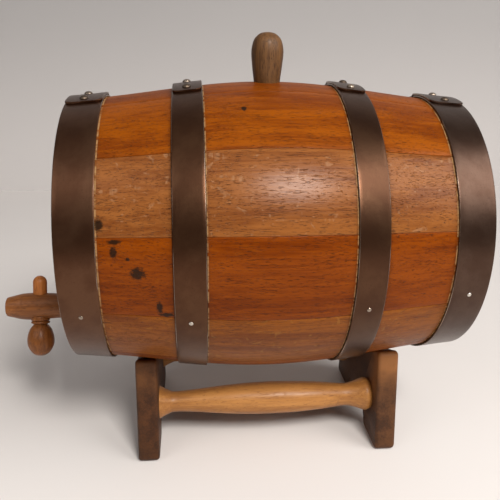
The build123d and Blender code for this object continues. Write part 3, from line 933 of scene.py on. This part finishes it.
BORE = 2.8 * MM
SEAT_DEPTH = 7.9 * MM
COLLAR_RADIUS = 7.3 * MM
BARREL_TOP = 5.3 * MM
BARREL_FOOT = 6.3 * MM
BARREL_FIT = 0.12 * MM  # between the key's barrel and its hole
SEAT_FIT = 0.25 * MM  # between the key's collar and the seat cut for it
CUT_PAST = 5 * MM  # how far the bore's cutter passes the ends
TAP_AT_HEAD = 8.5 * MM  # radius of the body where it meets the head
TAIL_EASE = (7.4 * MM, 6.9 * MM, 0.5 * MM)  # radii before and at the tail's end, and the length between
KEY_BODY = 10.5 * MM  # height over the tap's axis where the barrel's taper ends
COLLAR_WAIST = 3.6 * MM  # below the collar's top: the waist between its two beads,
COLLAR_FOOT = 6.3 * MM  # the end of the lower bead,
EGG_TOP = 5.8 * MM  # and where the knob's egg shape would begin
TAP_TINT = (0.82, 0.78, 0.68)
# The peg's tint is painted light: it makes the peg much paler than the knob.
PEG_LIGHT_TINT = (1.70, 1.58, 1.35)
KNOB_TINT = (0.80, 0.74, 0.60)


def make_tap_body(place):
    """Turned body: blunt nose, fullest by the key, tapering tail that plugs the head."""
    low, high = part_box("tap_body")
    key_x = place.translation.x
    nose = low.x - key_x
    tail = high.x - key_x
    length = tail - nose
    widest = (high.z - low.z) / 2
    face = AXIS.x - HEAD_MIDDLE - HEAD_HALF - key_x
    line = curve_through([
        (widest * 0.715, nose + 0.9 * MM),
        (widest * 0.845, nose + 0.065 * length),
        (widest * 0.965, nose + 0.125 * length),
        (widest * 1.0, nose + 0.21 * length),
        (widest * 0.955, nose + 0.33 * length),
        (widest * 0.875, nose + 0.49 * length),
        (widest * 0.825, nose + 0.62 * length),
        (TAP_AT_HEAD, face),
    ], steps=5)
    before_end, at_end, ease = TAIL_EASE
    outline = [(0, nose), (widest * 0.64, nose), (widest * 0.69, nose + 0.3 * MM)] + line
    outline += [
        (TAP_AT_HEAD - PLUG_TAPER * (tail - face) * i / 3, face + (tail - face) * i / 3) for i in (1, 2)
    ]
    outline += [(before_end, tail - ease), (at_end, tail), (0, tail)]
    lay = place @ Matrix.Rotation(pi / 2, 4, "Y")
    piece = turned("tap_piece", outline, lay, 96, wobble=0.12 * MM)
    ahead = Vector((1, 0, 0))
    origin = place.translation
    up = place.to_3x3() @ Vector((0, 0, 1))
    start = origin + ahead * (nose - CUT_PAST)
    end = origin + ahead * (tail + CUT_PAST)
    cut(piece, rod("bore", BORE, start, end, segments=32))
    cut(piece, rod("seat", COLLAR_RADIUS + SEAT_FIT, origin - up * (widest * 2), origin - up * SEAT_DEPTH))
    top = widest * 1.3
    spread = BARREL_FOOT + (BARREL_TOP - BARREL_FOOT) * (SEAT_DEPTH + top) / (SEAT_DEPTH + widest)
    start = origin - up * SEAT_DEPTH * 1.02
    end = origin + up * top
    cut(piece, rod("barrel", BARREL_FOOT + BARREL_FIT, start, end, end_radius=spread + BARREL_FIT))
    piece.name = "tap_body"
    finish_piece(piece, "tap_body", "tap", "tap_wood", tuple, TAP_TINT)


def make_tap_key(place):
    """Turned key: round-topped peg, tapered barrel, beaded collar and an egg-shaped knob."""
    low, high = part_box("tap_key")
    widest = (high.x - low.x) / 2
    inverse = place.inverted()
    heights = [(inverse @ v.co).z for v in frame["nodes"]["tap_key"].data.vertices]
    top = max(heights)
    foot = min(heights)
    collar = -SEAT_DEPTH - 0.05 * MM
    waist = collar - COLLAR_WAIST
    neck = collar - COLLAR_FOOT
    egg = collar - EGG_TOP - foot
    outline = curve_through([
        (0, foot),
        (widest * 0.34, foot + 0.022 * egg),
        (widest * 0.66, foot + 0.11 * egg),
        (widest * 0.93, foot + 0.30 * egg),
        (widest * 1.0, foot + 0.48 * egg),
        (widest * 0.95, foot + 0.66 * egg),
        (widest * 0.76, foot + 0.86 * egg),
        (COLLAR_RADIUS * 0.70, neck),
    ], steps=5)
    outline += curve_through([
        (COLLAR_RADIUS * 0.74, neck + 0.25 * MM),
        (COLLAR_RADIUS * 0.95, neck + 1.1 * MM),
        (COLLAR_RADIUS * 0.96, waist - 0.6 * MM),
        (COLLAR_RADIUS * 0.84, waist),
    ], steps=4)
    outline += curve_through([
        (COLLAR_RADIUS * 0.86, waist + 0.15 * MM),
        (COLLAR_RADIUS, waist + 1.0 * MM),
        (COLLAR_RADIUS, collar - 0.5 * MM),
        (COLLAR_RADIUS * 0.95, collar),
    ], steps=4)
    outline += [(BARREL_FOOT, collar), (BARREL_TOP, KEY_BODY)]
    outline += [(BARREL_TOP, KEY_BODY + (top - BARREL_TOP - KEY_BODY) * i / 3) for i in (1, 2)]
    outline += [
        (BARREL_TOP * cos(t), top - BARREL_TOP * (1 - sin(t))) for t in np.linspace(0, pi / 2, 9)
    ]
    piece = turned("key_piece", outline, place, 80, wobble=0.10 * MM)
    side = place.to_3x3() @ Vector((1, 0, 0))
    origin = place.translation
    reach = side * (2 * BARREL_FOOT)
    cut(piece, rod("port", BORE, origin - reach, origin + reach, segments=32))
    piece.name = "tap_key"

    def grain(point):
        x, y, z = inverse @ point
        return z + 0.9, x + 0.7, y

    def tint(point):
        """The peg, above the tap's axis, is painted paler than the knob: painted light, for the light that
        the peg catches.
        """
        return PEG_LIGHT_TINT if (inverse @ point).z > 0 else KNOB_TINT

    finish_piece(piece, "tap_key", "tap_key", "tap_wood", grain, tint)


# ---- Cradle ----

HORN_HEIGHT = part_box("left_cradle_board")[1].z
BOARD_ARRIS = 2.6 * MM
BOARD_TINTS = {"left": (1.0, 1.0, 1.0), "right": (1.30, 1.45, 1.70)}
BOARD_DRIFT = 0.18 * MM  # how far a board's faces wander
HORN_WEAR = {"left": 0.30, "right": 0.95}  # on the front horns
REST_WEAR = 0.25  # elsewhere
WEAR_FROM = 0.62  # share of the board's height where the wear begins
WEAR_OVER = 0.22  # share of it over which the wear grows
STRETCHER_TINT = (0.98, 1.00, 0.98)
TENON_RADIUS = 5 * MM


def board_outline():
    """A cradle board seen along the cask, as (y, z): the CAD board's edge where its arris begins."""
    mesh = frame["nodes"]["left_cradle_board"].data
    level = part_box("left_cradle_board")[0].x + BOARD_ARRIS
    neighbours = {}
    for edge in mesh.edges:
        ends = [mesh.vertices[i].co for i in edge.vertices]
        if all(abs(end.x - level) < CLOSE for end in ends):
            a, b = ((round(end.y, 6), round(end.z, 6)) for end in ends)
            neighbours.setdefault(a, []).append(b)
            neighbours.setdefault(b, []).append(a)
    path = [min(neighbours)]
    ahead = max(neighbours[path[0]], key=lambda point: point[1])
    while ahead != path[0]:
        path.append(ahead)
        ahead = next(point for point in neighbours[ahead] if point not in path[-2:])
    return eased(evenly(path, MM))


def evenly(path, step):
    """Closed outline resampled at even steps."""
    ring = np.array(path + [path[0]])
    lengths = np.hypot(*np.diff(ring, axis=0).T)
    along = np.concatenate([[0], np.cumsum(lengths)])
    at = np.linspace(0, along[-1], int(along[-1] / step), endpoint=False)
    return np.column_stack([np.interp(at, along, ring[:, 0]), np.interp(at, along, ring[:, 1])])


def eased(ring):
    """Closed outline with its corners rounded: each point becomes the mean of three neighbours."""
    return sum(np.roll(ring, shift, axis=0) for shift in (-1, 0, 1)) / 3


def inset(ring, depth):
    """Closed outline moved inwards by depth."""
    along = np.roll(ring, -1, axis=0) - np.roll(ring, 1, axis=0)
    along /= np.hypot(along[:, 0], along[:, 1])[:, None]
    return ring + depth * np.column_stack([along[:, 1], -along[:, 0]])


def make_board(side_name, side, outline):
    """Cradle board with softened edges, resting on the floor at its two feet."""
    node = f"{side_name}_cradle_board"
    low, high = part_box(node)
    floor = outline[:, 1].min()
    shoulders = [(low.x + drop, away) for away, drop in reversed(rounding(BOARD_ARRIS, 4))]
    levels = shoulders + [(low.x + (high.x - low.x) * i / 4, 0.0) for i in (1, 2, 3)]
    levels += [(low.x + high.x - x, depth) for x, depth in reversed(shoulders)]
    rings = []
    for x, depth in levels:
        ring = inset(outline, depth)
        points = []
        for y, z in ring:
            drift = BOARD_DRIFT * noise.noise(Vector((x * 40, y * 35, z * 35 + side)))
            points.append(Vector((x, y + drift, max(z - floor, 0.0))))
        rings.append(points)
    piece = new_piece(node, *skin(rings))
    worn = []
    for vertex in piece.data.vertices:
        y, z = vertex.co.y, vertex.co.z
        front = y < 0.6 * low.y
        high_up = min(1, max(0, (z - WEAR_FROM * HORN_HEIGHT) / (WEAR_OVER * HORN_HEIGHT)))
        worn.append(high_up * (HORN_WEAR[side_name] if front else REST_WEAR))
    note(piece, "worn", worn, "FLOAT")

    def grain(point):
        return point.y + 0.5 * side, point.z, point.x

    finish_piece(piece, node, "stand", "cradle_wood", grain, BOARD_TINTS[side_name])


STRETCHER_PROFILE = (  # radius in millimetres, and share of the half length from left to right
    (12.6, -1.0), (9.6, -0.93), (7.8, -0.85), (9.2, -0.60), (11.4, -0.30), (12.5, 0.06), (11.4, 0.42),
    (9.9, 0.62), (8.8, 0.76), (10.4, 0.86), (12.9, 0.95), (11.6, 1.0),
)


def make_stretcher(node):
    """Turned spindle: thick in the middle, two necks, flared ends."""
    low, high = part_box(node)
    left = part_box("left_cradle_board")[1].x
    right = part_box("right_cradle_board")[0].x
    half = (right - left) / 2 - 0.05 * MM
    outline = curve_through([(radius * MM, share * half) for radius, share in STRETCHER_PROFILE], steps=6)
    reach = (high.x - low.x) / 2
    left_tenon = [(0, -reach), (TENON_RADIUS, -reach), (TENON_RADIUS, -half)]
    right_tenon = [(TENON_RADIUS, half), (TENON_RADIUS, reach), (0, reach)]
    centre = Vector(((left + right) / 2, (low.y + high.y) / 2, (low.z + high.z) / 2))
    place = Matrix.Translation(centre) @ Matrix.Rotation(pi / 2, 4, "Y")
    piece = turned("spindle", left_tenon + outline + right_tenon, place, 72, wobble=0.22 * MM)
    piece.name = node
    finish_piece(piece, node, "stand", "stretcher_wood", lambda p: (p.x, p.y + 0.3, p.z), STRETCHER_TINT)


def make_cradle():
    outline = board_outline()
    for side_name, side in SIDES.items():
        make_board(side_name, side, outline)
    for node in ("front_stretcher", "rear_stretcher"):
        make_stretcher(node)


make_staves()
make_heads()
make_hoops()
make_bung()
tap = tap_frame()
make_tap_body(tap)
make_tap_key(tap)
make_cradle()


# ---- Floor, light and camera ----


def plaster(name, low_colour, high_colour, height):
    """Pale matt surface with a faint mottle, whose colour changes from the floor up to a height."""
    recipe = Recipe(name)
    where = recipe.node("TexCoord").outputs["Object"]
    split = recipe.node("SeparateXYZ", {0: where})
    tone = recipe.blend(recipe.between(split.outputs["Z"], 0.0, height), low_colour, high_colour)
    mottle = recipe.noise(where, (5, 5, 5), detail=3)
    tone = recipe.blend(recipe.between(mottle, 0.3, 0.7, to_high=0.05), tone, (0.5, 0.48, 0.46))
    return recipe.done(
        base_color=tone, roughness=0.65, specular_ior_level=0.2, normal=recipe.bump(mottle, 0.05 * MM),
    )


WALL_Y = 0.82
STAGE_WIDE = 40.0
WALL_HIGH = 6.0
FADE_HEIGHT = 0.45  # over which the wall darkens, as painted shade higher up
FLOOR_COLOUR = (0.755, 0.718, 0.695)
# From WALL_LOW_COLOUR to WALL_HIGH_COLOUR the wall darkens upwards: painted shade, for the light that
# falls off higher up.
WALL_LOW_COLOUR = (0.63, 0.60, 0.585)
WALL_HIGH_COLOUR = (0.38, 0.365, 0.36)


def make_stage():
    """Pale floor that meets a pale wall behind the object."""
    wide = STAGE_WIDE
    sheets = {
        "floor": (
            [(-wide, WALL_Y, 0), (wide, WALL_Y, 0), (wide, -wide, 0), (-wide, -wide, 0)],
            (FLOOR_COLOUR, FLOOR_COLOUR),
        ),
        "wall": (
            [(-wide, WALL_Y, 0), (-wide, WALL_Y, WALL_HIGH), (wide, WALL_Y, WALL_HIGH), (wide, WALL_Y, 0)],
            (WALL_LOW_COLOUR, WALL_HIGH_COLOUR),
        ),
    }
    for name, (corners, colours) in sheets.items():
        mesh = bpy.data.meshes.new(name)
        mesh.from_pydata(corners, [], [(0, 1, 2, 3)])
        mesh.materials.append(plaster(name, *colours, FADE_HEIGHT))
        new_object(name, mesh)


def area_light(name, toward, distance, size, power, colour):
    """Square soft light that shines on the cask from a direction."""
    lamp = bpy.data.lights.new(name, "AREA")
    lamp.size = size
    lamp.energy = power
    lamp.color = colour
    holder = new_object(name, lamp)
    direction = Vector(toward).normalized()
    holder.location = AXIS + direction * distance
    holder.rotation_euler = direction.to_track_quat("Z", "Y").to_euler()


LIGHTS = (  # name, direction from the cask, distance, side, watts and colour
    ("key", (0.20, -0.70, 0.69), 1.5, 0.40, 20.5, (1.0, 0.965, 0.92)),
    ("right", (0.9, -0.5, 0.75), 2.0, 1.2, 25, (1.0, 0.98, 0.96)),
    ("left", (-0.8, -0.6, 0.80), 2.2, 1.2, 8.5, (1.0, 0.98, 0.97)),
    ("ceiling", (0.0, -0.3, 0.95), 2.4, 2.4, 6, (1.0, 0.99, 0.98)),
)


def make_lights():
    """A lamp above the viewer's right shoulder, three softer ones round it, and a dim pale room."""
    for light in LIGHTS:
        area_light(*light)
    world = bpy.data.worlds.new("room")
    world.use_nodes = True
    background = world.node_tree.nodes["Background"]
    background.inputs["Color"].default_value = (0.80, 0.79, 0.80, 1)
    background.inputs["Strength"].default_value = 0.05
    bpy.context.scene.world = world
    bpy.context.scene.view_settings.view_transform = "Standard"


LENS = 43.48  # focal length in millimetres, on a sensor SENSOR wide
SENSOR = 36
CAMERA_PLACE = (-54.85, -447.90, 136.94)  # from the cask's middle, in millimetres
CAMERA_LOOK = (0.09272, 0.93901, -0.33115)
CAMERA_UP = (0.02005, 0.33075, 0.94350)


def make_camera():
    """Camera a little above the cask and left of its middle, looking down and slightly right."""
    lens = bpy.data.cameras.new("camera")
    lens.sensor_width = SENSOR
    lens.lens = LENS
    camera = new_object("camera", lens)
    camera.location = AXIS + Vector(CAMERA_PLACE) * MM
    look = Vector(CAMERA_LOOK).normalized()
    right = look.cross(Vector(CAMERA_UP)).normalized()
    upward = right.cross(look)
    camera.rotation_euler = Matrix((right, upward, -look)).transposed().to_euler()
    bpy.context.scene.camera = camera


make_stage()
make_lights()
make_camera()
